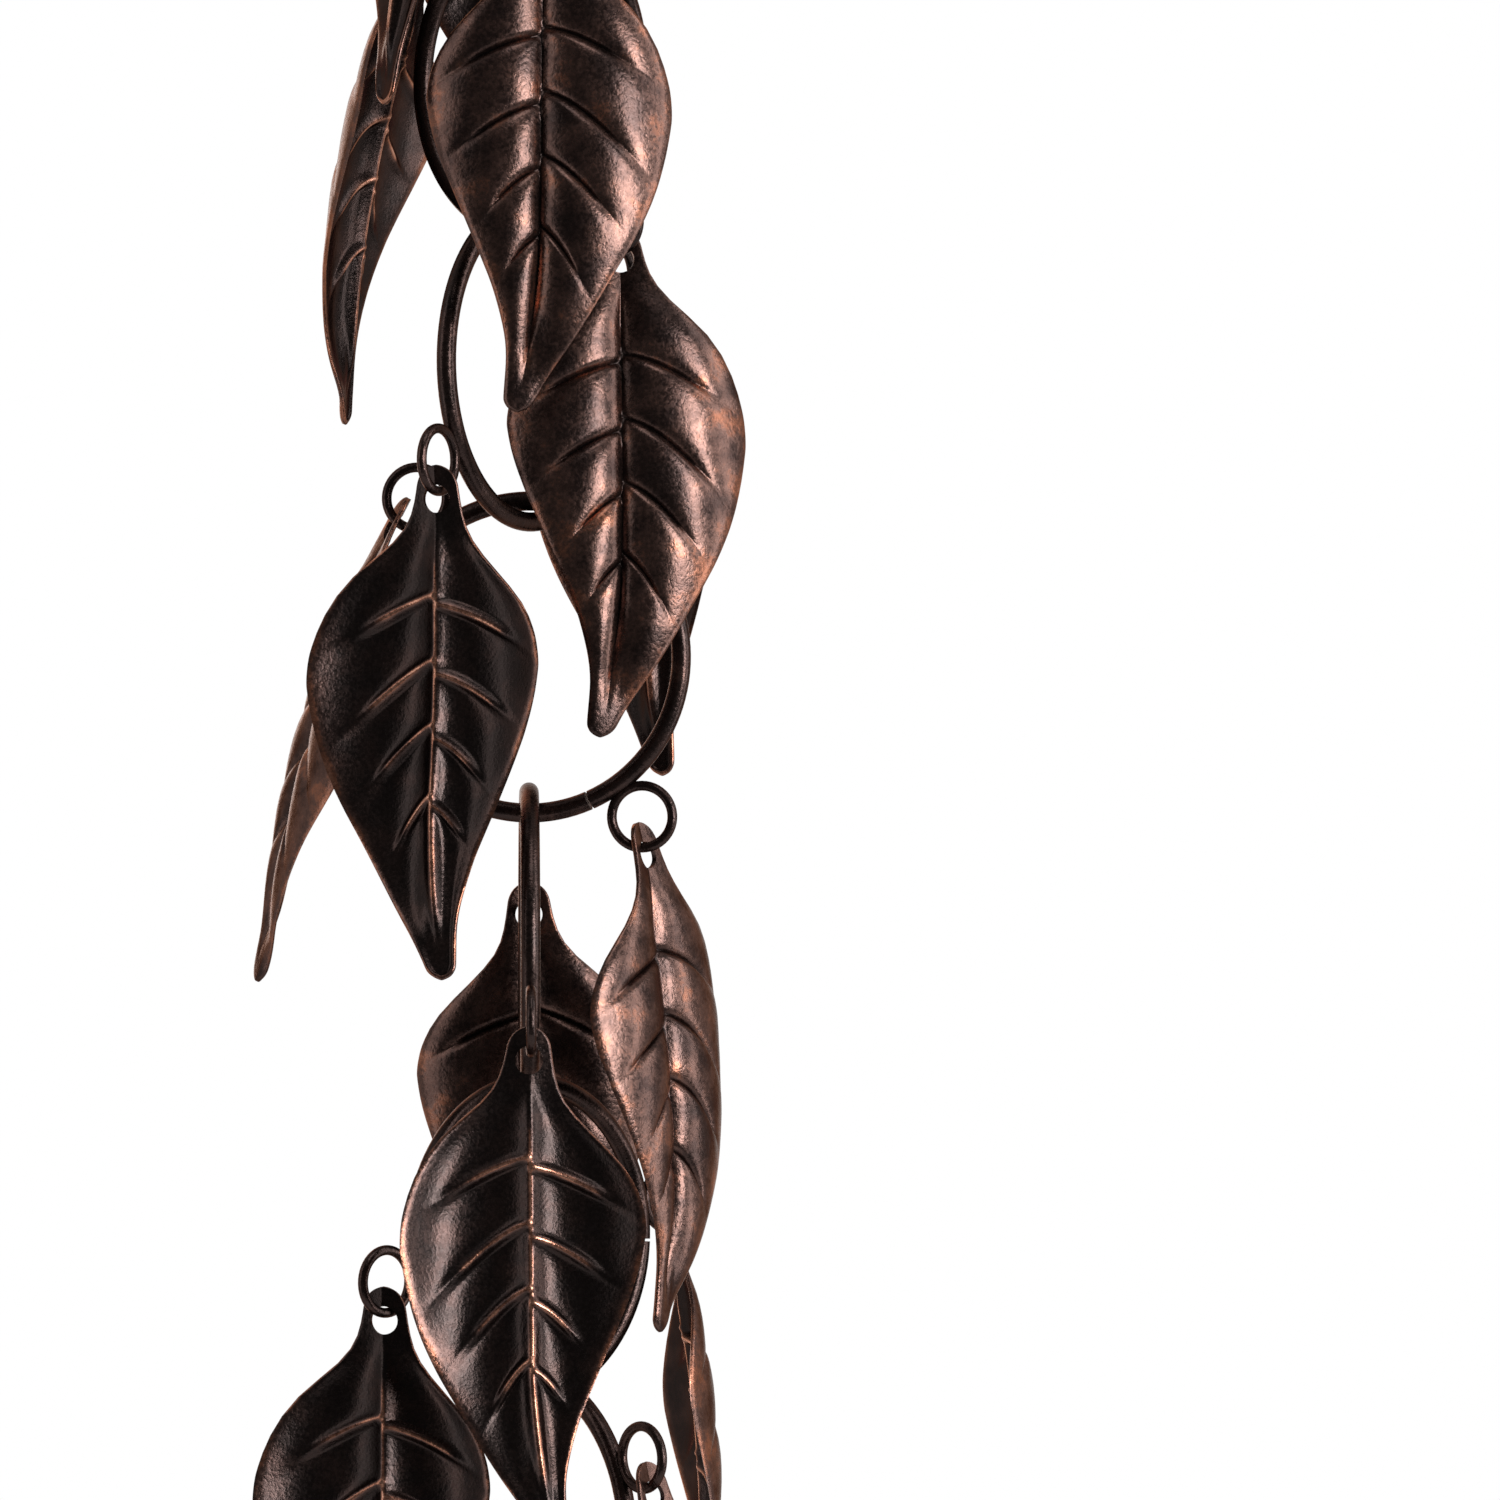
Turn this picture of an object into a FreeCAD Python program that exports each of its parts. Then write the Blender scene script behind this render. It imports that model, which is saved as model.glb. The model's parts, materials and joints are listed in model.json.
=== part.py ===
import FreeCAD, Part
import math
import os
import Sketcher

Vector = FreeCAD.Vector
Rotation = FreeCAD.Rotation
Placement = FreeCAD.Placement

doc = FreeCAD.newDocument("rain_chain")

# The driving sizes, in millimetres and degrees. Everything below is worked out from these.
sizes = doc.addObject("Spreadsheet::Sheet", "sizes")
DRIVING = (
    ("ring_diameter", 60.0),      # outside of a chain ring
    ("ring_wire", 3.5),           # thickness of the ring's wire
    ("seam_angle", 1.0),          # butt seam of the bent ring, as an angle about its centre
    ("seam_place", 12.0),         # how far round the seam lies from the first eyelet
    ("link_gap", 0.3),            # play between two linked rings
    ("eyelet_diameter", 13.0),    # outside of a small welded eyelet
    ("eyelet_wire", 1.8),         # thickness of the eyelet's wire
    ("weld_depth", 0.8),          # how deep the eyelet is melted into the ring
    ("leaf_length", 86.0),        # centre of the hole to the tip
    ("leaf_width", 44.0),         # widest place
    ("leaf_sheet", 0.9),          # sheet thickness
    ("lug_width", 8.0),           # round lug above the hole
    ("lug_height", 6.0),          # centre of the hole to the top of the lug
    ("hole_diameter", 5.0),       # hole in the lug
    ("hang_gap", 0.5),            # play between the hole and the eyelet
    ("leaf_lean", 5.0),           # least lean of a leaf away from the chain
    ("rest_gap", 0.6),            # play between a leaf and the ring that it leans over
    ("lobe_radius", 26.0),        # curve of each half of the leaf, across
    ("lobe_offset", 7.0),         # crown of each half, measured from the midrib
    ("bend_radius", 240.0),       # curve of the leaf along its length
    ("vein_radius", 0.8),         # round section of a vein
    ("vein_rise", 0.45),          # how far a vein stands out of the sheet
)
for row, (name, value) in enumerate(DRIVING, 1):
    sizes.set(f"A{row}", name)
    sizes.set(f"B{row}", str(value))
    sizes.setAlias(f"B{row}", name)
doc.recompute()


def size(name):
    return float(sizes.get(name))


# Outline of the leaf's two halves, as shares of its length below the hole and of its width.
FULL_HALF = ((0.07, 0.15), (0.135, 0.34), (0.23, 0.47), (0.35, 0.53), (0.46, 0.515),
             (0.60, 0.43), (0.74, 0.27), (0.85, 0.12), (0.93, 0.0))
SLIM_HALF = ((0.07, -0.12), (0.13, -0.20), (0.19, -0.345), (0.26, -0.43), (0.36, -0.47),
             (0.48, -0.41), (0.62, -0.295), (0.75, -0.19), (0.86, -0.135), (0.94, -0.125))
TIP_ACROSS = -0.085
# Side veins: where each leaves the midrib, and where it ends, in the same shares.
VEINS = ((0.20, 0.285, 0.37), (0.335, 0.48, 0.38), (0.47, 0.595, 0.28), (0.62, 0.72, 0.155),
         (0.22, 0.30, -0.36), (0.365, 0.46, -0.33), (0.50, 0.585, -0.20), (0.64, 0.705, -0.125))
MIDDLE_SHARE = 0.45


def middle_height():
    return -MIDDLE_SHARE * size("leaf_length")


# How far the middle of the leaf bows out in front of its hole and its tip.
def bow():
    return size("bend_radius") - math.sqrt(size("bend_radius") ** 2 - middle_height() ** 2)


BOW = f"(sizes.bend_radius - sqrt(sizes.bend_radius^2 - ({MIDDLE_SHARE} * sizes.leaf_length)^2))"


# Depth of the leaf's dished surface behind the centre of its hole.
# The offset moves from the middle of the sheet towards its front.
def surface(across, height, offset):
    radius = size("lobe_radius")
    centre = math.sqrt(radius ** 2 - size("lobe_offset") ** 2)
    beside = abs(across) - size("lobe_offset")
    section = centre - math.sqrt((radius + offset) ** 2 - beside ** 2)
    arm = size("bend_radius") - section
    turn = math.asin((height - middle_height()) / arm)
    return size("bend_radius") - arm * math.cos(turn) - bow()


def leaf_point(along, across):
    return Vector(across * size("leaf_width"), 0, -along * size("leaf_length"))


# The outline of the flat blank: lug, fuller half, tip and slimmer half.
def blank_outline():
    half_lug = size("lug_width") / 2
    lug_centre = size("lug_height") - half_lug
    right = Vector(half_lug, 0, lug_centre)
    left = Vector(-half_lug, 0, lug_centre)
    top = Vector(0, 0, size("lug_height"))
    tip = leaf_point(1.0, TIP_ACROSS)
    down = [right] + [leaf_point(*p) for p in FULL_HALF]
    up = [leaf_point(*p) for p in reversed(SLIM_HALF)] + [left]
    sides = []
    for points in (down, up):
        curve = Part.BSplineCurve()
        curve.interpolate(points)
        sides.append(curve.toShape())
    lug = Part.Arc(left, top, right).toShape()
    point = Part.Arc(down[-1], tip, up[0]).toShape()
    return Part.Wire([lug, sides[0], point, sides[1]])


# The veins are round bars along arcs that follow the sheet and sink away at their ends.
# On the dished side they are fused on, and on the convex side they are cut out.
def vein_bars(side):
    face = side * size("leaf_sheet") / 2
    lift = size("vein_radius") - size("vein_rise")
    bars = []
    for start, end, across in VEINS:
        line = ((0.04 * across, start), (0.5 * across, 0.54 * start + 0.46 * end), (across, end))
        depths = (lift, lift, lift + 1.2 * size("vein_rise"))
        points = []
        for (beside, along), depth in zip(line, depths):
            point = leaf_point(along, beside)
            point.y = surface(point.x, point.z, face) - depth
            points.append(point)
        arc = Part.Arc(*points)
        path = arc.toShape()
        start_way = path.tangentAt(path.FirstParameter)
        end = Part.Face(Part.Wire(Part.Circle(points[0], start_way, size("vein_radius")).toShape()))
        sweep = math.degrees(path.Length / path.Curve.Radius)
        bars.append(end.revolve(path.Curve.Center, path.Curve.Axis, sweep))
    return Part.makeCompound(bars)


# Cross-section of the pressed sheet: two lobes that meet in the crease of the midrib.
def section_sketch():
    sketch = doc.addObject("Sketcher::SketchObject", "leaf_section")
    sketch.setExpression("Placement.Base.y", f"-{BOW}")
    sketch.setExpression("Placement.Base.z", f"-{MIDDLE_SHARE} * sizes.leaf_length")
    centre_y = "sqrt(sizes.lobe_radius^2 - sizes.lobe_offset^2)"
    reach = 0.56 * size("leaf_width")
    arcs = {}
    for side in (1, -1):
        for face in (1, -1):
            radius = size("lobe_radius") + face * size("leaf_sheet") / 2
            centre = Vector(side * size("lobe_offset"), math.sqrt(size("lobe_radius") ** 2
                                                                  - size("lobe_offset") ** 2), 0)
            inner = -math.pi / 2 - side * math.asin(size("lobe_offset") / radius)
            outer = -math.pi / 2 + side * math.asin((reach - size("lobe_offset")) / radius)
            circle = Part.Circle(centre, Vector(0, 0, 1), radius)
            arc = sketch.addGeometry(Part.ArcOfCircle(circle, min(inner, outer), max(inner, outer)), False)
            arcs[side, face] = arc
            mid, far = (1, 2) if side > 0 else (2, 1)
            name = f"{'right' if side > 0 else 'left'}_{'front' if face > 0 else 'back'}"
            bound = (
                (Sketcher.Constraint("Radius", arc, radius), "radius",
                 f"sizes.lobe_radius {'+' if face > 0 else '-'} sizes.leaf_sheet / 2"),
                (Sketcher.Constraint("DistanceX", -1, 1, arc, 3, centre.x), "offset",
                 f"{side} * sizes.lobe_offset"),
                (Sketcher.Constraint("DistanceY", -1, 1, arc, 3, centre.y), "depth", centre_y),
                (Sketcher.Constraint("DistanceX", -1, 1, arc, far, side * reach), "reach",
                 f"{side} * 0.56 * sizes.leaf_width"),
            )
            for constraint, word, formula in bound:
                if side < 0 and word == "offset":
                    continue
                index = sketch.addConstraint(constraint)
                sketch.renameConstraint(index, f"{name}_{word}")
                sketch.setExpression(f"Constraints.{name}_{word}", formula)
            if side > 0:
                sketch.addConstraint(Sketcher.Constraint("PointOnObject", arc, mid, -2))
    for face in (1, -1):
        sketch.addConstraint(Sketcher.Constraint("Coincident", arcs[1, face], 1, arcs[-1, face], 2))
    for side in (1, -1):
        far = 2 if side > 0 else 1
        front = sketch.getPoint(arcs[side, 1], far)
        back = sketch.getPoint(arcs[side, -1], far)
        line = sketch.addGeometry(Part.LineSegment(front, back), False)
        sketch.addConstraint(Sketcher.Constraint("Coincident", line, 1, arcs[side, 1], far))
        sketch.addConstraint(Sketcher.Constraint("Coincident", line, 2, arcs[side, -1], far))
    return sketch


# One leaf, front towards -Y, hanging down from the centre of its hole at the origin.
def leaf_master():
    section = section_sketch()
    doc.recompute()
    dished = doc.addObject("Part::Revolution", "leaf_dished")
    dished.Source = section
    dished.Axis = Vector(1, 0, 0)
    dished.Symmetric = True
    dished.Solid = True
    dished.setExpression("Base.y", f"sizes.bend_radius - {BOW}")
    dished.setExpression("Base.z", f"-{MIDDLE_SHARE} * sizes.leaf_length")
    dished.setExpression("Angle", "1.45 * sizes.leaf_length / sizes.bend_radius * 180 / pi")
    outline = doc.addObject("Part::Feature", "leaf_outline")
    outline.Shape = blank_outline()
    blank = doc.addObject("Part::Extrusion", "leaf_blank")
    blank.Base = outline
    blank.DirMode = "Custom"
    blank.Dir = Vector(0, 1, 0)
    blank.Solid = True
    blank.Symmetric = True
    blank.setExpression("LengthFwd", "1.2 * sizes.leaf_width")
    pressed = doc.addObject("Part::Common", "leaf_pressed")
    pressed.Base = dished
    pressed.Tool = blank
    ridges = doc.addObject("Part::Feature", "leaf_ridges")
    ridges.Shape = vein_bars(-1)
    grooves = doc.addObject("Part::Feature", "leaf_grooves")
    grooves.Shape = vein_bars(1)
    ridged = doc.addObject("Part::MultiFuse", "leaf_ridged")
    ridged.Shapes = [pressed, ridges]
    veined = doc.addObject("Part::Cut", "leaf_veined")
    veined.Base = ridged
    veined.Tool = grooves
    punch = doc.addObject("Part::Cylinder", "leaf_punch")
    punch.Placement = Placement(Vector(0, 0, 0), Rotation(Vector(1, 0, 0), 90))
    punch.setExpression("Radius", "sizes.hole_diameter / 2")
    punch.setExpression("Height", "sizes.leaf_width")
    punch.setExpression("Placement.Base.y", "sizes.leaf_width / 2")
    leaf = doc.addObject("Part::Cut", "leaf")
    leaf.Base = veined
    leaf.Tool = punch
    return leaf


# One ring in the XZ plane, centred on the origin, with an eyelet at +X and one at -X.
def ring_master():
    upright = Rotation(Vector(1, 0, 0), 90)
    hoop = doc.addObject("Part::Torus", "hoop")
    hoop.setExpression("Radius1", "(sizes.ring_diameter - sizes.ring_wire) / 2")
    hoop.setExpression("Radius2", "sizes.ring_wire / 2")
    hoop.setExpression("Angle3", "360 - sizes.seam_angle")
    hoop.Placement = Placement(Vector(), upright * Rotation(Vector(0, 0, 1), -size("seam_place")))
    pieces = [hoop]
    for side in (1, -1):
        eyelet = doc.addObject("Part::Torus", "eyelet")
        eyelet.setExpression("Radius1", "(sizes.eyelet_diameter - sizes.eyelet_wire) / 2")
        eyelet.setExpression("Radius2", "sizes.eyelet_wire / 2")
        eyelet.Placement = Placement(Vector(), upright)
        eyelet.setExpression("Placement.Base.x", f"{side} * ({EYELET_REACH})")
        pieces.append(eyelet)
    ring = doc.addObject("Part::MultiFuse", "ring")
    ring.Shapes = pieces
    return ring


EYELET_REACH = "sizes.ring_diameter / 2 + sizes.eyelet_diameter / 2 - sizes.weld_depth"

# How each ring and its two leaves hang, ring by ring from the top, in degrees:
# turn of the ring about the chain, roll of its first eyelet above the level, and for each leaf
# its twist and whether its dished side faces out.
LINKS = (
    (-5, 12, (15, False), (-20, True)),
    (80, -20, (-10, True), (20, False)),
    (-35, 25, (20, False), (-15, False)),
    (25, -15, (15, True), (10, False)),
    (-20, 30, (25, False), (-25, True)),
    (-130, -35, (-25, True), (-10, False)),
    (-84, -39, (-6, False), (-15, False)),
    (-45, -50, (-35, False), (25, False)),
    (60, 30, (-10, False), (10, True)),
    (-12, -54, (-20, False), (25, False)),
    (-88, -20, (0, True), (0, True)),
    (45, 10, (-40, False), (30, True)),
    (-50, 25, (10, False), (-15, True)),
    (75, -30, (-15, False), (15, False)),
    (5, -36, (20, True), (-15, False)),
    (-72, 15, (-10, False), (10, False)),
    (-30, 8, (20, False), (-25, True)),
    (50, -25, (10, True), (-10, False)),
    (-75, 20, (-15, False), (15, True)),
    (28, -30, (-20, False), (20, False)),
    (-57, 15, (10, True), (-10, False)),
    (-8, -10, (15, False), (-15, True)),
    (-65, 30, (-10, False), (10, False)),
    (5, -20, (20, True), (-15, False)),
    (80, 10, (0, False), (5, False)),
)
SLIDE_SHARE = 0.8


# Where a leaf hangs from its eyelet. On a raised eyelet it has slid outwards along the wire,
# and it leans as far as it must to pass outside its own ring.
def leaf_placement(turn, roll, side, hang, height):
    twist, dished_out = hang
    rise = math.radians(side * roll)
    reach = size("ring_diameter") / 2 + size("eyelet_diameter") / 2 - size("weld_depth")
    slide = SLIDE_SHARE * max(0, rise)
    wire_arm = (size("eyelet_diameter") - size("eyelet_wire")) / 2
    out = reach * math.cos(rise) + wire_arm * math.sin(slide)
    up = reach * math.sin(rise) - wire_arm * math.cos(slide)
    clear = size("ring_diameter") / 2 + size("leaf_sheet") / 2 + size("rest_gap")
    if dished_out:
        clear += bow()
    lean = math.radians(size("leaf_lean"))
    if up > 0 and out * math.cos(lean) + up * math.sin(lean) < clear:
        lean = math.atan2(up, out) - math.acos(clear / math.hypot(out, up))
    rim = (size("hole_diameter") - size("eyelet_wire")) / 2 - size("hang_gap")
    out += rim * math.sin(lean)
    up -= rim * math.cos(lean)
    bearing = turn if side > 0 else turn + 180
    hole = Vector(out * math.cos(math.radians(bearing)), out * math.sin(math.radians(bearing)), height + up)
    tip_out = Rotation(Vector(1, 0, 0), math.degrees(lean) * (1 if dished_out else -1))
    facing = Rotation(Vector(0, 0, 1), bearing + 90 + twist + (180 if dished_out else 0))
    return Placement(hole, facing * tip_out)


leaf = leaf_master()
ring = ring_master()
doc.recompute()

# The rings hang one in the next. The origin is where the top ring bears on what it hangs from.
nodes = []
for number, (turn, roll, first, second) in enumerate(LINKS, 1):
    step = f"(sizes.ring_diameter - 2 * sizes.ring_wire - sizes.link_gap) * {number - 1}"
    drop = f"sizes.ring_diameter / 2 - sizes.ring_wire + {step}"
    link = doc.addObject("Part::Compound", f"ring_{number:02d}")
    link.Links = [ring]
    swing = Rotation(Vector(0, 0, 1), turn) * Rotation(Vector(0, 1, 0), -roll)
    link.Placement = Placement(Vector(), swing)
    link.setExpression("Placement.Base.z", f"-({drop})")
    doc.recompute([link])
    pair = []
    for side, hang in ((1, first), (-1, second)):
        one = doc.addObject("Part::Compound", f"leaf_{number:02d}")
        one.Links = [leaf]
        one.Placement = leaf_placement(turn, roll, side, hang, link.Placement.Base.z)
        pair.append(one)
    leaves = doc.addObject("Part::Compound", f"leaves_{number:02d}")
    leaves.Links = pair
    nodes += [link, leaves]
doc.recompute()

for item in doc.Objects:
    state = set(item.State)
    if state & {"Invalid", "Error"}:
        raise RuntimeError(f"{item.Label} did not recompute: {item.State}")
    if hasattr(item, "Shape") and (item.Shape.isNull() or not item.Shape.isValid()):
        raise RuntimeError(f"{item.Label} has no valid shape")

os.makedirs("parts", exist_ok=True)
for node in nodes:
    node.Shape.exportStep(f"parts/{node.Label}.step")
print(len(nodes), "nodes,", sum(len(node.Shape.Solids) for node in nodes), "solids")
print("leaf faces", len(leaf.Shape.Faces), "volume", round(leaf.Shape.Volume, 1), leaf.Shape.BoundBox)
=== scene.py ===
# %% [markdown]
# # Rain chain with pressed leaves
# A rain chain hangs from a gutter and leads water down. This one is made of wire rings, and on every ring
# hang two leaves that are pressed from thin sheet. The CAD frame holds the rings, the joints and a plain
# form of every leaf. Blender adds what the press and the finish give a leaf: crisp veins, soft quilting,
# rounded rims, and a dark patina that is rubbed through to the bronze.

import json
import math

import bpy
import numpy as np
from mathutils import Matrix, Vector
from mathutils.bvhtree import BVHTree

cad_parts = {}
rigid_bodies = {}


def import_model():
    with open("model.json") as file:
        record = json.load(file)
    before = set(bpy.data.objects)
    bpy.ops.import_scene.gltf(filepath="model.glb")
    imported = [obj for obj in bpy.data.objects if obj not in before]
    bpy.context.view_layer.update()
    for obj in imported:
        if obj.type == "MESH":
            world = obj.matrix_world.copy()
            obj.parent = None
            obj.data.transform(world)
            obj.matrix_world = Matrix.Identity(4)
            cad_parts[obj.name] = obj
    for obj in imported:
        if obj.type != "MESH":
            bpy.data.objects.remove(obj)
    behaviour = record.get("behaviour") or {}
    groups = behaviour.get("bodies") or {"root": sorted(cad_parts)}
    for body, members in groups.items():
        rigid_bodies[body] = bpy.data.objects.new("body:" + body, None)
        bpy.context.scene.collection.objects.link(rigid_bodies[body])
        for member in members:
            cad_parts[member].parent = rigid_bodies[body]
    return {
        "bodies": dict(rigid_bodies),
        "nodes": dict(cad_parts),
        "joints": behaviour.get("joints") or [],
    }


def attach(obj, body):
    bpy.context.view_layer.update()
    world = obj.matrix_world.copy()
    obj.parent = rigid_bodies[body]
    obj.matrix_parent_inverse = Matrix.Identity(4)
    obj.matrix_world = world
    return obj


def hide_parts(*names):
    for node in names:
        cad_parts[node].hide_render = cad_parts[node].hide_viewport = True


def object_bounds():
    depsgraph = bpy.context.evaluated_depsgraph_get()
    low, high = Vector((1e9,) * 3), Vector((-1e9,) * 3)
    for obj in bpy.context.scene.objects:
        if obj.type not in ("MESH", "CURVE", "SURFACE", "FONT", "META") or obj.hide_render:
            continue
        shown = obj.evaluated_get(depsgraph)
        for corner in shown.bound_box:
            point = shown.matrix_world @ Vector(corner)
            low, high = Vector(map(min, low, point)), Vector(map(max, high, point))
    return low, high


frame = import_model()
cad_low, cad_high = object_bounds()
link_names = sorted(frame["bodies"])
print("links:", len(link_names), "CAD box:", tuple(cad_low), tuple(cad_high))

# %% [markdown]
# ## The leaf's blank
# On the real chain every leaf is cut from sheet by one die, so it is modelled once. The blank could be
# traced as a filled curve, but then its faces would run anywhere. A grid whose rows follow the side veins
# is better: later each vein is one row, and a crisp ridge needs only a few faces.
#
# A leaf has a full half and a slim half. A point of their edges is given as two shares: how far below the
# hole it lies, of the leaf's length, and how far across, of its width.

# %% Sizes and outline
LEAF_LENGTH = 0.0856
LEAF_WIDTH = 0.0438
FULL_HALF = ((0.07, 0.15), (0.135, 0.34), (0.23, 0.47), (0.35, 0.53), (0.46, 0.515), (0.60, 0.43),
             (0.74, 0.28), (0.85, 0.15), (0.93, 0.04), (0.965, -0.002), (0.99, -0.035))
SLIM_HALF = ((0.07, -0.12), (0.13, -0.20), (0.19, -0.345), (0.26, -0.43), (0.36, -0.47), (0.48, -0.41),
             (0.62, -0.295), (0.75, -0.19), (0.86, -0.135), (0.94, -0.135), (0.97, -0.142), (0.992, -0.125))
TIP = (1.0, -0.085)
print("leaf:", 1000 * LEAF_LENGTH, "by", 1000 * LEAF_WIDTH, "mm")
print("edge points:", len(FULL_HALF + SLIM_HALF) + 1)

# %% [markdown]
# A smooth edge needs more points than these. A line that bends through every given point supplies them,
# and a quarter circle at the top rounds the lug.

# %% The two rims
LUG_HEIGHT = 0.006
LUG_WIDTH = 0.008


def smooth_line(points, steps=24):
    """Points on a smooth line through the given ones."""
    known = [np.array(p) for p in points]
    known = [2 * known[0] - known[1]] + known + [2 * known[-1] - known[-2]]
    line = []
    for before, start, end, after in zip(known, known[1:], known[2:], known[3:]):
        for t in np.linspace(0, 1, steps, endpoint=False):
            way = (end - before) * t + (2 * before - 5 * start + 4 * end - after) * t ** 2
            line.append(start + 0.5 * (way + (3 * start - before - 3 * end + after) * t ** 3))
    return np.array(line + [known[-2]])


def rim(half, side):
    """One edge of the blank, from the top of the lug to the tip: shares along and across."""
    lug = LUG_WIDTH / 2
    angles = np.radians(np.linspace(0, 90, 9))
    along = (lug - lug * np.cos(angles) - LUG_HEIGHT) / LEAF_LENGTH
    across = side * lug * np.sin(angles) / LEAF_WIDTH
    side_line = smooth_line([(along[-1], across[-1]), *half, TIP])
    return np.vstack([np.column_stack([along, across])[:-1], side_line])


RIMS = {1: rim(FULL_HALF, 1), -1: rim(SLIM_HALF, -1)}
print("rim points:", {side: len(line) for side, line in RIMS.items()})

# %% [markdown]
# Each half has four side veins. One is given by where it leaves the midrib and where it ends, as shares
# of the length, and by its end across. The rows of the grid bunch up at the veins, at the round end of
# the lug and at the tip, where the shape changes fast, and stay apart where it doesn't.

# %% Where the rows cross the midrib
FULL_VEINS = ((0.20, 0.285, 0.37), (0.335, 0.48, 0.38), (0.47, 0.595, 0.28), (0.62, 0.72, 0.155))
SLIM_VEINS = ((0.22, 0.30, -0.36), (0.365, 0.46, -0.33), (0.50, 0.585, -0.20), (0.64, 0.705, -0.125))
VEINS = {1: FULL_VEINS, -1: SLIM_VEINS}
LUG_TOP = -LUG_HEIGHT / LEAF_LENGTH
FIRST_ROW = 0.04
LAST_ROW = 0.965
ROW_STEP = 0.045
CLOSEST_ROWS = 0.0042
VEIN_ROWS = (0.0, -0.0055, 0.0055, -0.013, 0.013)
END_ROWS = (0.002, 0.008, 0.018, 0.032)
END_ZONE = 0.035


def row_shares():
    """Where the rows cross the midrib, as shares of the leaf's length."""
    wanted = [LUG_TOP, 1.0]
    wanted += [LUG_TOP + step for step in END_ROWS] + [1.0 - step for step in END_ROWS]
    wanted += [vein[0] + step for step in VEIN_ROWS for vein in FULL_VEINS + SLIM_VEINS]
    wanted += list(np.arange(LUG_TOP + FIRST_ROW, LAST_ROW, ROW_STEP))
    rows = wanted[:2]
    for share in wanted[2:]:
        near_end = min(share - LUG_TOP, 1.0 - share) < END_ZONE
        if near_end or min(abs(share - row) for row in rows) > CLOSEST_ROWS:
            rows.append(share)
    return np.array(sorted(rows))


ROWS = row_shares()
print("rows:", len(ROWS))

# %% [markdown]
# Towards the rim every row droops as the veins do. How far it must sink to pass through the end of its
# vein is found by trying, because the rim that it heads for moves as it sinks.

# %% How the rows droop
VEIN_CURVE = 1.45
MOST_SINK = 0.3
# Where a row at the neck and one at the foot leave the midrib, and how far each sinks.
NECK_ROW = (0.08, 0.03)
FOOT_ROW = (0.85, 0.06)
RIB_SWING_START = 0.62
RIB_SWING_CURVE = 1.6


def vein_reach(vein, side, sink):
    """How far out along its row a vein ends, when that row sinks so much on its way to the rim."""
    start, _, across = vein
    return min(abs(across / np.interp(start + sink, *RIMS[side].T)), 1.0)


def row_sink(vein, side):
    """How far a vein's row sinks from the midrib to the rim, so that it passes through the vein's end."""
    drop = vein[1] - vein[0]
    tries = np.linspace(drop, MOST_SINK, 80)
    misses = [abs(sink * vein_reach(vein, side, sink) ** VEIN_CURVE - drop) for sink in tries]
    return tries[int(np.argmin(misses))]


def droop(share, side):
    """How far any row sinks, as a share of the length: between two veins it is between theirs."""
    starts = [LUG_TOP, NECK_ROW[0]] + [vein[0] for vein in VEINS[side]] + [FOOT_ROW[0], 1.0]
    sinks = [0.0, NECK_ROW[1]] + [row_sink(vein, side) for vein in VEINS[side]] + [FOOT_ROW[1], 0.0]
    return np.interp(share, starts, sinks)


def rib_across(share):
    """The midrib runs straight down from the hole, then swings to the tip."""
    swing = np.clip((share - RIB_SWING_START) / (1 - RIB_SWING_START), 0, 1)
    return TIP[1] * swing ** RIB_SWING_CURVE


most_sunk = max(droop(ROWS, 1).max(), droop(ROWS, -1).max()) * LEAF_LENGTH
print("rows sink by up to", round(1000 * most_sunk, 1), "mm")

# %% [markdown]
# ## Shaping the grid
# A grid primitive is the start. Its vertices are selected by their row or column, and moved and scaled in
# edit mode. An operator acts on all that is selected, so everything else is deselected first.

# %% The grid, and ways to select in it
COLUMNS = 18
COLUMN_PULL = 1.4


def deselect_everything():
    if bpy.context.object and bpy.context.object.mode != "OBJECT":
        bpy.ops.object.mode_set(mode="OBJECT")
    bpy.ops.object.select_all(action="DESELECT")


def select_vertices(piece, chosen):
    """Selects the vertices whose numbers are given, and no others, in edit mode."""
    bpy.ops.object.mode_set(mode="OBJECT")
    picked = np.zeros(len(piece.data.vertices), dtype=bool)
    picked[chosen] = True
    for domain in (piece.data.edges, piece.data.polygons):
        domain.foreach_set("select", np.zeros(len(domain), dtype=bool))
    piece.data.vertices.foreach_set("select", picked)
    bpy.ops.object.mode_set(mode="EDIT")


def places(mesh):
    """The places of a mesh's vertices, one row each."""
    flat = np.empty(len(mesh.vertices) * 3)
    mesh.vertices.foreach_get("co", flat)
    return flat.reshape(-1, 3)


deselect_everything()
bpy.ops.mesh.primitive_grid_add(x_subdivisions=COLUMNS, y_subdivisions=len(ROWS) - 1, size=2,
                                rotation=(math.pi / 2, 0, 0))
leaf = bpy.context.object
leaf.name = "leaf_master"
bpy.ops.object.transform_apply(location=False, rotation=True, scale=False)
print("grid:", len(leaf.data.vertices), "vertices")

# %% [markdown]
# The columns are pulled towards the midrib, which needs the finest faces. Then the two halves of every
# row are scaled out to the rim, and the row is moved to its place down the leaf.

# %% Columns and rows in place
start = places(leaf.data)
row_of = np.rint((1 - start[:, 2]) / 2 * (len(ROWS) - 1)).astype(int)
column_of = np.rint(start[:, 0] * COLUMNS / 2).astype(int)
side_of = np.where(column_of < 0, -1, 1)
share_of = ROWS[row_of]
out_of = (np.abs(column_of) / (COLUMNS / 2)) ** COLUMN_PULL

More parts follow.
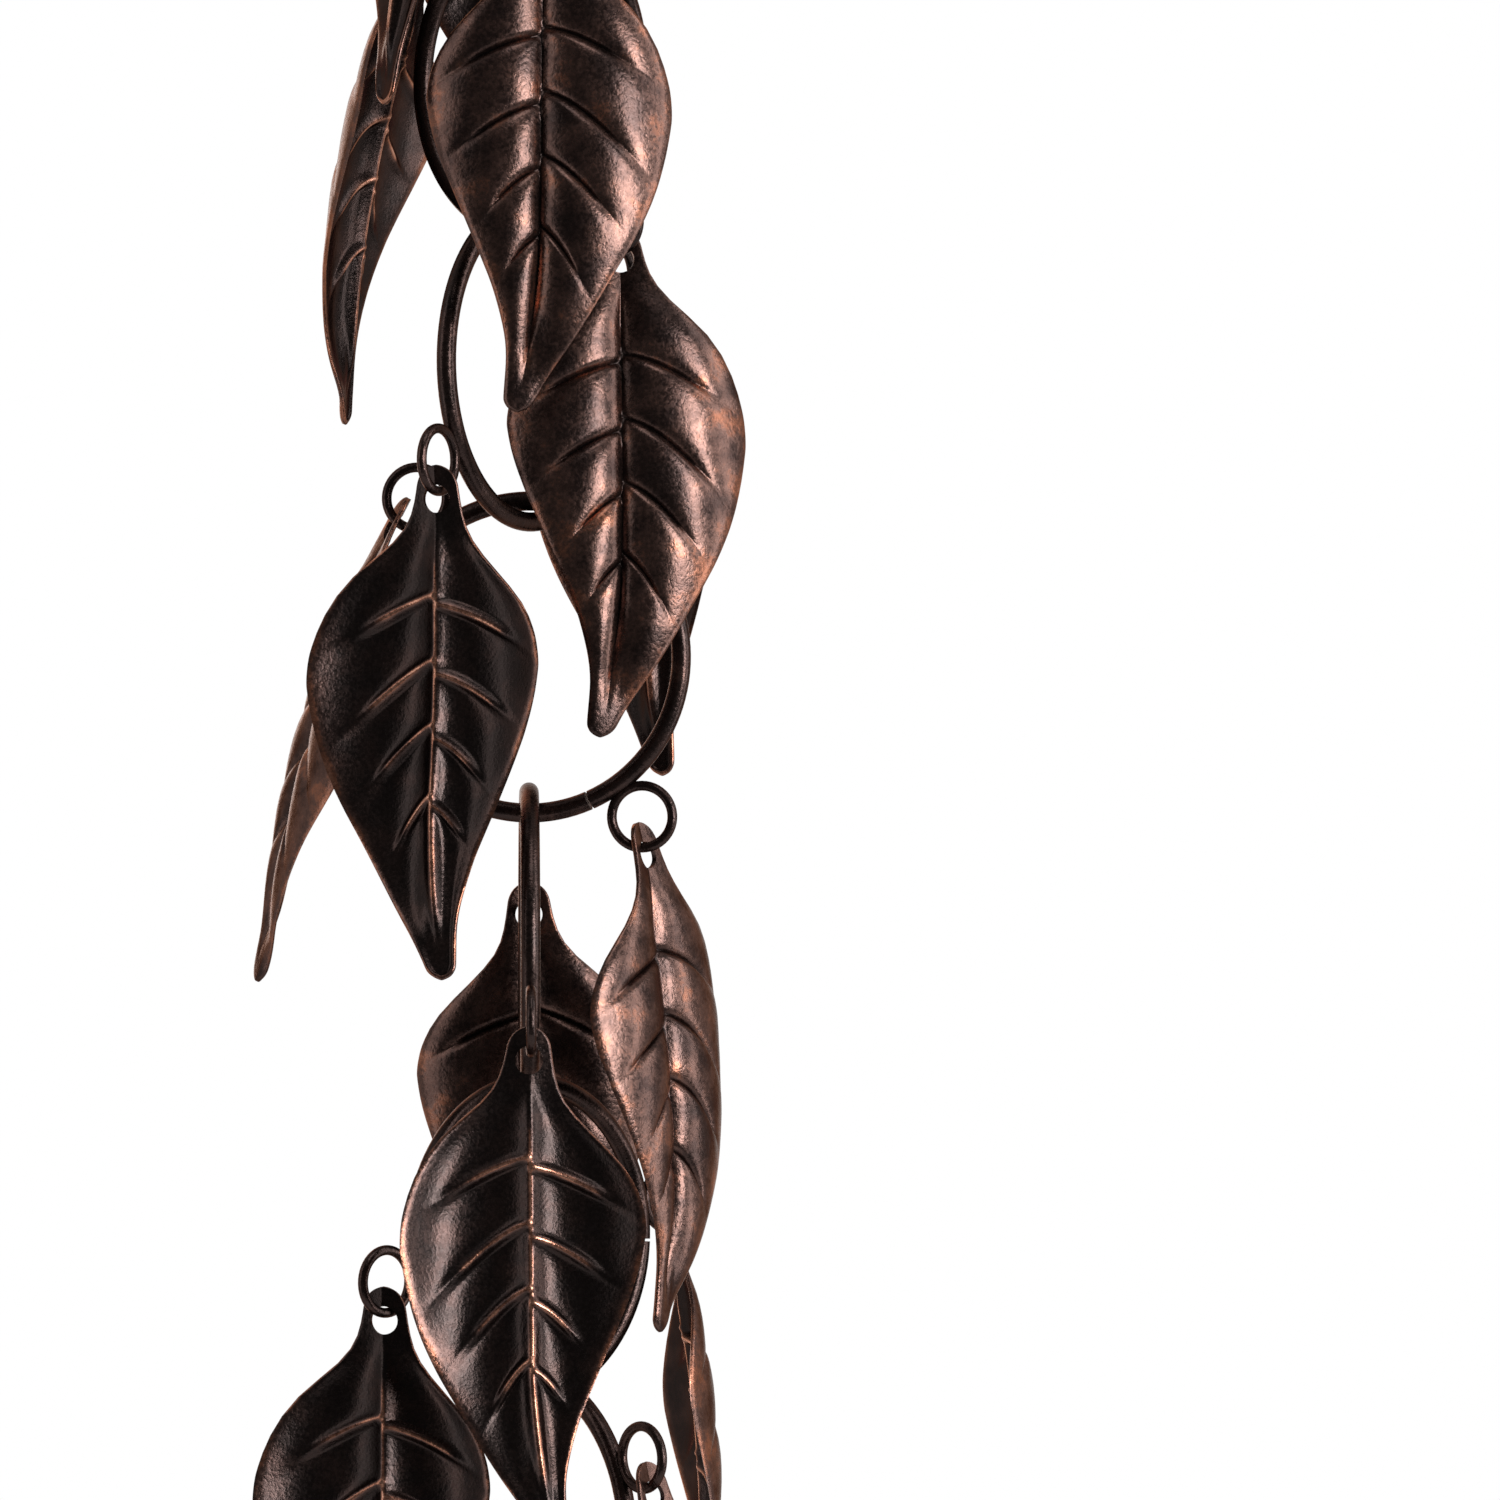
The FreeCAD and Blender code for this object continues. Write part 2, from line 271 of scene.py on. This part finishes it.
for column in range(-COLUMNS // 2, COLUMNS // 2 + 1):
    chosen = np.flatnonzero(column_of == column)
    pulled = math.copysign(out_of[chosen[0]], column) if column else 0.0
    select_vertices(leaf, chosen)
    bpy.ops.transform.translate(value=(pulled - column * 2 / COLUMNS, 0, 0))
for row, share in enumerate(ROWS):
    middle = rib_across(share)
    for side in (1, -1):
        rim_along = min(share + droop(share, side), 1.0)
        half = abs(np.interp(rim_along, *RIMS[side].T) - middle) * LEAF_WIDTH
        select_vertices(leaf, np.flatnonzero((row_of == row) & (side_of == side) & (column_of != 0)))
        bpy.ops.transform.resize(value=(half, 1, 1), center_override=(0, 0, 0))
    height = -share * LEAF_LENGTH - (1 - 2 * row / (len(ROWS) - 1))
    select_vertices(leaf, np.flatnonzero(row_of == row))
    bpy.ops.transform.translate(value=(middle * LEAF_WIDTH, 0, height))
bpy.ops.object.mode_set(mode="OBJECT")
print("flat blank:", tuple(round(v * 1000, 1) for v in leaf.dimensions), "mm")

# %% [markdown]
# The droop differs from point to point, so no single move makes it. Such a depth is painted on the sheet
# as a vertex group, and a Displace modifier pushes every vertex by its own weight. The press uses the
# same helper below.

# %% Drooping rows
def apply_modifier(piece, kind, **settings):
    """Adds a modifier with its settings and applies it."""
    modifier = piece.modifiers.new(kind.lower(), kind)
    for name, value in settings.items():
        setattr(modifier, name, value)
    bpy.context.view_layer.objects.active = piece
    bpy.ops.object.modifier_apply(modifier=modifier.name)


def press(piece, name, axis, depths):
    """Pushes every vertex along an axis by its own depth: a painted weight and an applied Displace."""
    low, high = float(depths.min()), float(depths.max())
    group = piece.vertex_groups.new(name=name)
    for number, depth in enumerate(depths):
        group.add([number], (depth - low) / (high - low), "REPLACE")
    apply_modifier(piece, "DISPLACE", vertex_group=name, direction=axis, mid_level=0.0, strength=high - low)
    piece.vertex_groups.remove(piece.vertex_groups[name])
    rest = {"Y": (0, low, 0), "Z": (0, 0, low)}[axis]
    piece.data.transform(Matrix.Translation(rest))


droop_of = np.where(side_of > 0, droop(share_of, 1), droop(share_of, -1))
press(leaf, "droop", "Z", -np.minimum(droop_of, 1.0 - share_of) * out_of ** VEIN_CURVE * LEAF_LENGTH)
print("blank:", tuple(round(v * 1000, 1) for v in leaf.dimensions), "mm")

# %% [markdown]
# ## The pressing
# In the workshop the press forms the sheet in one stroke. Here it takes two. First comes the dish: two
# lobes that meet in the crease of the midrib, and a bow along the leaf. This is the form of the CAD
# solid, so a copy of it is kept to hang the leaf by.

# %% The dish
LOBE_RADIUS = 0.026
LOBE_OFFSET = 0.007
BEND_RADIUS = 0.24
MIDDLE_SHARE = 0.45


def dish(across, height):
    """Depth of the dished and bowed sheet behind the centre of its hole."""
    beside = np.abs(across) - LOBE_OFFSET
    section = math.sqrt(LOBE_RADIUS ** 2 - LOBE_OFFSET ** 2) - np.sqrt(LOBE_RADIUS ** 2 - beside ** 2)
    arm = BEND_RADIUS - section
    middle = -MIDDLE_SHARE * LEAF_LENGTH
    turn = np.arcsin((height - middle) / arm)
    return math.sqrt(BEND_RADIUS ** 2 - middle ** 2) - arm * np.cos(turn)


flat = places(leaf.data)
press(leaf, "dish", "Y", dish(flat[:, 0], flat[:, 2]))
dished_sheet = leaf.data.copy()
print("dished sheet:", tuple(round(v * 1000, 1) for v in leaf.dimensions), "mm")

# %% [markdown]
# Then comes the relief. A side vein is a narrow groove that runs out towards its end. A groove on the
# bulging side is a ridge on the hollow side, because the sheet is thin. Here only the weight is worked
# out: one where a vein is deepest, nought where there is none.

# %% Weight of the side veins
VEIN_HALF = 0.0135
VEIN_SECTION = 1.2
VEIN_FADES_FROM = 0.72


def ease(value, start, end):
    """Goes smoothly from 0 at the start to 1 at the end."""
    share = np.clip((value - start) / (end - start), 0, 1)
    return share * share * (3 - 2 * share)


vein_weight = np.zeros(len(share_of))
for side in (1, -1):
    for vein in VEINS[side]:
        reach = vein_reach(vein, side, row_sink(vein, side))
        beside = 1 - np.clip(np.abs(share_of - vein[0]) / VEIN_HALF, 0, 1) ** VEIN_SECTION
        length = 1 - ease(out_of, VEIN_FADES_FROM * reach, reach)
        vein_weight = np.maximum(vein_weight, np.where(side_of == side, beside * length, 0))
print("vertices on side veins:", int((vein_weight > 0.5).sum()))

# %% [markdown]
# The midrib is a fine groove at the bottom of a wider crease. Between the veins the sheet swells like
# quilting, and at the rim it is rolled back a little.

# %% Weights of midrib, crease, rim and quilting
RIB_HALF = 0.0010
RIB_SECTION = 1.5
CREASE_HALF = 0.0070
BLADE_STARTS = (0.05, 0.16)
BLADE_ENDS = (0.84, 0.95)
ROLL_ZONE = (0.72, 1.0)
ROLL_STARTS = (0.05, 0.20)
QUILT_TOP = 0.06
QUILT_FOOT = 0.86
QUILT_LEAN = 0.7
QUILT_RISES = (0.0, 0.3)
QUILT_FALLS = (0.55, 1.0)

rib_distance = np.abs(flat[:, 0] - rib_across(share_of) * LEAF_WIDTH)
on_blade = ease(share_of, *BLADE_STARTS) * (1 - ease(share_of, *BLADE_ENDS))
rib_weight = (1 - np.clip(rib_distance / RIB_HALF, 0, 1) ** RIB_SECTION) * on_blade
crease_weight = np.clip(1 - rib_distance / CREASE_HALF, 0, 1) ** 2 * on_blade
roll_weight = ease(out_of, *ROLL_ZONE) * ease(share_of, *ROLL_STARTS)
from_rib = ease(out_of, *QUILT_RISES) * (1 - ease(out_of, *QUILT_FALLS))

quilt_weight = np.zeros(len(share_of))
for side in (1, -1):
    firsts = [QUILT_TOP] + [vein[0] for vein in VEINS[side]] + [QUILT_FOOT]
    for top, low in zip(firsts, firsts[1:]):
        phase = np.clip((share_of - top) / (low - top), 0, 1)
        swell = np.sin(math.pi * phase ** QUILT_LEAN) * from_rib
        quilt_weight = np.maximum(quilt_weight, np.where(side_of == side, swell, 0))
print("vertices on quilting:", int((quilt_weight > 0.5).sum()))

# %% [markdown]
# The weights say where. The depths of the die say how far, and the second stroke presses them in. Where
# the midrib and a side vein meet, the deeper one counts. Their sum would leave a pit at every junction.

# %% The stroke of the press
VEIN_DEPTH = 0.0012
RIB_DEPTH = 0.0008
CREASE_DEPTH = 0.0010
QUILT_DEPTH = 0.0007
ROLL_DEPTH = 0.0007

relief = np.maximum(VEIN_DEPTH * vein_weight, RIB_DEPTH * rib_weight) - QUILT_DEPTH * quilt_weight
relief += CREASE_DEPTH * crease_weight
relief += ROLL_DEPTH * roll_weight
press(leaf, "relief", "Y", relief)
print("pressed leaf:", tuple(round(v * 1000, 1) for v in leaf.dimensions), "mm")

# %% [markdown]
# Where the finish gets rubbed through depends on the veins and on the nearness of the rim, so both are
# painted on the sheet as attributes. Then the sheet gets its thickness, and one subdivision rounds its
# edges. Solidify keeps both sides parallel, which a modelled back wouldn't be.

# %% Thickness and rounded edges
SHEET = 0.0009
RIM_ZONE = 0.62


def paint_attribute(mesh, name, values):
    painted = mesh.attributes.new(name, "FLOAT", "POINT")
    painted.data.foreach_set("value", np.asarray(values, dtype=np.float32))


paint_attribute(leaf.data, "vein", np.maximum(vein_weight, rib_weight))
paint_attribute(leaf.data, "edge", ease(out_of, RIM_ZONE, 1.0))
bpy.context.view_layer.objects.active = leaf
bpy.ops.object.mode_set(mode="EDIT")
bpy.ops.mesh.select_all(action="SELECT")
bpy.ops.mesh.remove_doubles(threshold=1e-5)
bpy.ops.mesh.normals_make_consistent(inside=False)
bpy.ops.object.mode_set(mode="OBJECT")
apply_modifier(leaf, "SOLIDIFY", thickness=SHEET, offset=0.0)
apply_modifier(leaf, "SUBSURF", levels=1, render_levels=1)
print("leaf of sheet:", len(leaf.data.polygons), "faces")

# %% [markdown]
# The hole in the lug is punched with a Boolean, as it is in the workshop.

# %% The hole
HOLE_DIAMETER = 0.005

deselect_everything()
bpy.ops.mesh.primitive_cylinder_add(vertices=40, radius=HOLE_DIAMETER / 2, depth=6 * SHEET,
                                    rotation=(math.pi / 2, 0, 0))
punch = bpy.context.object
apply_modifier(leaf, "BOOLEAN", operation="DIFFERENCE", object=punch, solver="EXACT", use_self=True)
bpy.data.objects.remove(punch)
deselect_everything()
leaf.select_set(True)
bpy.context.view_layer.objects.active = leaf
bpy.ops.object.shade_smooth_by_angle(angle=math.radians(60))
print("finished leaf:", len(leaf.data.polygons), "faces")

# %% [markdown]
# ## The finish
# The chain is plated, darkened until it is nearly black, and then rubbed, so that bronze shows wherever a
# cloth reaches: on the bulging side nearly everywhere but in the grooves, on the hollow side only on the
# raised veins and the rim. So the finish needs one number at every point, how far it is rubbed. It is
# painted on the leaf as an attribute from the shape itself, and the material breaks it up with noise.

# %% Where a leaf is rubbed
OUT_FACE = 0.36
OUT_GROOVE = -0.36
OUT_BESIDE_GROOVE = 0.55
OUT_RIM = 0.15
IN_FACE = 0.06
IN_RIDGE = 0.80
IN_RIM = 0.50


def read_attribute(mesh, name):
    values = np.empty(len(mesh.vertices), dtype=np.float32)
    mesh.attributes[name].data.foreach_get("value", values)
    return values


normals = np.empty(len(leaf.data.vertices) * 3)
leaf.data.vertices.foreach_get("normal", normals)
bulging = ease(-normals.reshape(-1, 3)[:, 1], -0.1, 0.3)
on_vein = read_attribute(leaf.data, "vein")
on_edge = read_attribute(leaf.data, "edge")
beside_vein = on_vein * (1 - on_vein)
rubbed_out = OUT_FACE + OUT_GROOVE * on_vein ** 2 + OUT_BESIDE_GROOVE * beside_vein
rubbed_out = rubbed_out + OUT_RIM * on_edge ** 1.5
rubbed_in = IN_FACE + IN_RIDGE * on_vein ** 4 + IN_RIM * on_edge ** 8
paint_attribute(leaf.data, "rubbed", bulging * rubbed_out + (1 - bulging) * rubbed_in)
print("rubbed share of the leaf:", round(float(read_attribute(leaf.data, "rubbed").mean()), 2))

# %% [markdown]
# A material is a tree of nodes. These helpers add a node and fill or link its sockets in one line, so
# that the tree reads from its first node to its last.

# %% Adding shader nodes
def add_node(tree, kind, **sockets):
    """Adds a shader node. A socket gets a plain value, or a link if the value is a node's output."""
    node = tree.nodes.new(kind)
    for name, value in sockets.items():
        socket = node.inputs[int(name[1:])] if name[1:].isdigit() else node.inputs[name.replace("_", " ")]
        if isinstance(value, bpy.types.NodeSocket):
            tree.links.new(value, socket)
        else:
            socket.default_value = value
    return node


def add_math(tree, operation, first, second):
    node = add_node(tree, "ShaderNodeMath", _0=first, _1=second)
    node.operation = operation
    return node.outputs[0]


def add_noise(tree, place, scale, detail):
    node = add_node(tree, "ShaderNodeTexNoise", Vector=place, Scale=scale, Detail=detail, Roughness=0.6)
    return node.outputs["Fac"]


def push_by_noise(tree, noise, amount):
    """Turns a noise into a push up or down, by half the amount at most."""
    push = add_math(tree, "MULTIPLY_ADD", noise, amount)
    push.node.inputs[2].default_value = -amount / 2
    return push


# %% [markdown]
# Leaves and wire have the same bronze, so one function builds both finishes. A ramp goes from the black
# patina over brown to bare copper, and two noises push the rubbing up and down: broad cloudy patches, and
# fine grains where the plating is slightly rough. The fine noise also drives the gloss and a slight bump,
# which gives the satin sheen.

# %% Bronze
PATINA = ((0.00, (0.024, 0.018, 0.017)), (0.28, (0.043, 0.027, 0.024)), (0.48, (0.100, 0.057, 0.047)),
          (0.64, (0.225, 0.093, 0.058)), (1.00, (0.520, 0.280, 0.200)))
EDGE_TINT = (0.50, 0.40, 0.36, 1.0)
METAL = 0.93
ROUGHNESS = (0.20, 0.35)
BUMP_HEIGHT = 0.0005
BUMP_STRENGTH = 0.16
PATCHES_PER_METRE = 140.0
GRAINS_PER_METRE = 1500.0
WIRE_RUBBED = 0.18


def bronze(name, rubbed, patches, grains):
    """A rubbed bronze finish. Rubbed is a number, or the name of an attribute that holds it."""
    material = bpy.data.materials.new(name)
    material.use_nodes = True
    tree = material.node_tree
    shader = tree.nodes["Principled BSDF"]
    place = add_node(tree, "ShaderNodeTexCoord").outputs["Object"]
    if isinstance(rubbed, str):
        painted = add_node(tree, "ShaderNodeAttribute")
        painted.attribute_name = rubbed
        rubbed = painted.outputs["Fac"]
    cloudy = add_noise(tree, place, PATCHES_PER_METRE, 6.0)
    grainy = add_noise(tree, place, GRAINS_PER_METRE, 2.0)
    worn = add_math(tree, "ADD", rubbed, push_by_noise(tree, cloudy, patches))
    worn = add_math(tree, "ADD", worn, push_by_noise(tree, grainy, grains))
    ramp = add_node(tree, "ShaderNodeValToRGB", Fac=worn)
    while len(ramp.color_ramp.elements) < len(PATINA):
        ramp.color_ramp.elements.new(0.5)
    for element, (position, colour) in zip(ramp.color_ramp.elements, PATINA):
        element.position = position
        element.color = (*colour, 1.0)
    dull = add_node(tree, "ShaderNodeMapRange", Value=grainy, From_Min=0.3, From_Max=0.7,
                    To_Min=ROUGHNESS[0], To_Max=ROUGHNESS[1])
    bump = add_node(tree, "ShaderNodeBump", Strength=BUMP_STRENGTH, Distance=BUMP_HEIGHT, Height=grainy)
    tree.links.new(ramp.outputs["Color"], shader.inputs["Base Color"])
    tree.links.new(dull.outputs["Result"], shader.inputs["Roughness"])
    tree.links.new(bump.outputs["Normal"], shader.inputs["Normal"])
    shader.inputs["Metallic"].default_value = METAL
    shader.inputs["Specular Tint"].default_value = EDGE_TINT
    return material


leaf_bronze = bronze("leaf_bronze", "rubbed", patches=1.1, grains=0.20)
wire_bronze = bronze("wire_bronze", WIRE_RUBBED, patches=1.0, grains=0.16)
leaf.data.materials.append(leaf_bronze)
print("materials:", leaf_bronze.name, wire_bronze.name)

# %% [markdown]
# ## Hanging the leaves
# A leaf hangs where the frame says. Each CAD node holds the two leaves of one ring. A surface carries its
# own frame with it: its centre and its long, wide and thin axes. When that frame is known for the
# modelled leaf and for a leaf of the CAD, the turn from one to the other puts the copy in its place, with
# no number to type in.

# %% Finding a surface's own frame
def triangle_corners(mesh):
    """The corners of a mesh's triangles, as an array of three places each."""
    mesh.calc_loop_triangles()
    numbers = np.empty(len(mesh.loop_triangles) * 3, dtype=np.int32)
    mesh.loop_triangles.foreach_get("vertices", numbers)
    return places(mesh)[numbers].reshape(-1, 3, 3)


def own_frame(corners):
    """Centre and axes of a surface. The axes point where the surface has its longer tails."""
    edges = corners[:, 1:] - corners[:, :1]
    areas = np.linalg.norm(np.cross(edges[:, 0], edges[:, 1]), axis=1) / 2
    middles = corners.mean(axis=1)
    centre = np.average(middles, axis=0, weights=areas)
    reach = corners - centre
    total = reach.sum(axis=1)
    spread = np.einsum("t,tci,tcj->ij", areas, reach, reach) + np.einsum("t,ti,tj->ij", areas, total, total)
    thin, _, long = np.linalg.eigh(spread)[1].T
    tails = [np.sum(areas * ((middles - centre) @ axis) ** 3) for axis in (thin, long)]
    thin, long = (axis * np.sign(tail) for axis, tail in zip((thin, long), tails))
    wide = np.cross(thin, long)
    turned = Matrix(np.column_stack([wide, thin, long]).tolist()).to_4x4()
    return Matrix.Translation(centre) @ turned


leaf_frame = own_frame(triangle_corners(dished_sheet))
print("the leaf's own centre:", tuple(round(v * 1000, 1) for v in leaf_frame.translation), "mm")

# %% [markdown]
# The two leaves of a node hang on opposite sides of the chain, so they are told apart by the side on
# which a triangle lies. Every copy gets a mesh of its own, rides on its link and stands for the node.

# %% Copies in place
def two_leaves(node):
    """The triangles of the two leaves in a node, which hang on opposite sides of the chain."""
    corners = triangle_corners(node.data)
    away = corners.mean(axis=1)[:, :2]
    away = away - away.mean(axis=0)
    apart = away @ np.linalg.eigh(away.T @ away)[1][:, -1]
    return corners[apart > 0], corners[apart < 0]


misfits = []
for link in link_names:
    number = link.split("_")[1]
    node = "leaves_" + number
    for letter, corners in zip("ab", two_leaves(frame["nodes"][node])):
        mesh = leaf.data.copy()
        mesh.transform(own_frame(corners) @ leaf_frame.inverted())
        piece = bpy.data.objects.new(f"leaf_{number}_{letter}", mesh)
        bpy.context.scene.collection.objects.link(piece)
        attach(piece, link)
        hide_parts(node)
        tree = BVHTree.FromPolygons(places(mesh).tolist(), [tuple(p.vertices) for p in mesh.polygons])
        misfits.append(max(tree.find_nearest(place)[3] for place in corners[::40, 0]))
bpy.data.objects.remove(leaf)
print("leaves:", len(misfits), "furthest from its solid:", round(1000 * max(misfits), 2), "mm")

# %% [markdown]
# ## The rings
# A ring is one bent wire with its seam and two welded eyelets. The CAD form is right, so the nodes stay
# and only get the finish.

# %% Finish of the rings
rings = [node for name, node in frame["nodes"].items() if name.startswith("ring_")]
for ring in rings:
    ring.data.materials.clear()
    ring.data.materials.append(wire_bronze)
print("rings:", len(rings))

# %% [markdown]
# ## Studio
# The chain is lit as in a plain studio, with soft boxes, a white backdrop behind it and a dimmer room in
# front. The floor takes the chain's shadow. It is a disc, and it fades to white before its edge, so that
# no edge shows.

# %% Floor
FLOOR_GAP = 0.06
FLOOR_RADIUS = 1.2
FLOOR_COLOUR = (0.75, 0.75, 0.75, 1)
FADE_STARTS = 0.15 * FLOOR_RADIUS
FADE_ENDS = 0.75 * FLOOR_RADIUS

deselect_everything()
bpy.ops.mesh.primitive_circle_add(vertices=96, radius=FLOOR_RADIUS, fill_type="NGON",
                                  location=(0, 0, cad_low.z - FLOOR_GAP))
floor = bpy.context.object
floor.name = "floor"
pale_floor = bpy.data.materials.new("pale_floor")
pale_floor.use_nodes = True
tree = pale_floor.node_tree
shader = tree.nodes["Principled BSDF"]
shader.inputs["Base Color"].default_value = FLOOR_COLOUR
shader.inputs["Roughness"].default_value = 0.7
place = add_node(tree, "ShaderNodeTexCoord").outputs["Object"]
far = add_node(tree, "ShaderNodeVectorMath", _0=place)
far.operation = "LENGTH"
fade = add_node(tree, "ShaderNodeMapRange", Value=far.outputs["Value"], From_Min=FADE_STARTS,
                From_Max=FADE_ENDS)
white = add_node(tree, "ShaderNodeEmission")
blend = add_node(tree, "ShaderNodeMixShader", Fac=fade.outputs["Result"], _1=shader.outputs["BSDF"],
                 _2=white.outputs["Emission"])
tree.links.new(blend.outputs["Shader"], tree.nodes["Material Output"].inputs["Surface"])
floor.data.materials.append(pale_floor)
print("floor at", round(floor.location.z, 3))

# %% [markdown]
# Satin metal is dark where it mirrors the room and bright where it mirrors a soft box, and that shows its
# form. So the world is white where the camera looks, and for reflections it is white behind the chain and
# dim in front of it.

# %% World
DIM_ROOM = 0.06
ROOM_FRONT = -0.7
ROOM_BACK = 0.6
SPREAD_LIGHT = 0.35

world = bpy.data.worlds.new("studio")
world.use_nodes = True
bpy.context.scene.world = world
tree = world.node_tree
background = tree.nodes["Background"]
background.inputs["Color"].default_value = (1, 1, 1, 1)
rays = add_node(tree, "ShaderNodeLightPath").outputs
way = add_node(tree, "ShaderNodeTexCoord").outputs["Generated"]
depth = add_node(tree, "ShaderNodeSeparateXYZ", Vector=way).outputs["Y"]
room = add_node(tree, "ShaderNodeMapRange", Value=depth, From_Min=ROOM_FRONT, From_Max=ROOM_BACK,
                To_Min=DIM_ROOM, To_Max=1.0)
seen = add_math(tree, "MAXIMUM", rays["Is Glossy Ray"], rays["Is Transmission Ray"])
mirrored = add_math(tree, "MULTIPLY", seen, room.outputs["Result"])
spread = add_math(tree, "MULTIPLY", add_math(tree, "SUBTRACT", 1.0, seen), SPREAD_LIGHT)
strength = add_math(tree, "MAXIMUM", rays["Is Camera Ray"], add_math(tree, "ADD", mirrored, spread))
tree.links.new(strength, background.inputs["Strength"])
print("world:", len(tree.nodes), "nodes")

# %% [markdown]
# The key lamp stands at the right in front. Narrower boxes stand at both sides and behind, and a weak one
# hangs above, so that the chain has its highlights from every side.

# %% Lamps
chain_middle = (cad_low + cad_high) / 2


def soft_box(name, place, width, height, power):
    """A rectangular area light that faces the middle of the chain."""
    deselect_everything()
    bpy.ops.object.light_add(type="AREA", location=place)
    lamp = bpy.context.object
    lamp.name = name
    lamp.data.shape = "RECTANGLE"
    lamp.data.size = width
    lamp.data.size_y = height
    lamp.data.energy = power
    lamp.rotation_euler = (chain_middle - Vector(place)).to_track_quat("-Z", "Y").to_euler()


soft_box("key_box", (1.60, -1.50, chain_middle.z + 0.40), 0.70, 1.2, 50)
soft_box("rim_box", (1.2, -0.15, chain_middle.z + 0.25), 0.3, 1.9, 10)
soft_box("fill_box", (-1.1, -0.5, chain_middle.z + 0.25), 0.4, 1.9, 4)
soft_box("back_box", (-0.55, 1.15, chain_middle.z + 0.25), 0.4, 1.9, 6)
soft_box("top_box", (0.3, -0.7, cad_high.z + 0.9), 0.8, 0.8, 6)

# %% [markdown]
# ## Camera
# The photograph looks straight at a stretch of the chain from far away, so a long lens is used. Two
# places where one ring hangs in the next are known in the frame, and where they are seen in the picture
# says what the camera frames.

# %% Camera of the photograph
PICTURE = 1500
HANGING_POINTS_SEEN = {"swing_10": (529, 522), "swing_11": (529, 813)}
DISTANCE = 1.6
SENSOR = 36.0

hanging_points = {joint["name"]: Vector(joint["pos_m"]) for joint in frame["joints"]}
upper, lower = HANGING_POINTS_SEEN
drop_seen = HANGING_POINTS_SEEN[lower][1] - HANGING_POINTS_SEEN[upper][1]
scale = (hanging_points[upper].z - hanging_points[lower].z) / drop_seen
seen_x, seen_y = HANGING_POINTS_SEEN[upper]
aim = hanging_points[upper] + Vector((PICTURE / 2 - seen_x, 0, seen_y - PICTURE / 2)) * scale
bpy.ops.object.camera_add(location=aim - Vector((0, DISTANCE, 0)), rotation=(math.pi / 2, 0, 0))
camera = bpy.context.object
camera.data.sensor_width = SENSOR
camera.data.lens = SENSOR * DISTANCE / (PICTURE * scale)
bpy.context.scene.camera = camera
bpy.context.scene.view_settings.view_transform = "Standard"
print("camera lens:", round(camera.data.lens, 1), "mm, frame:", round(PICTURE * scale * 1000, 1), "mm wide")
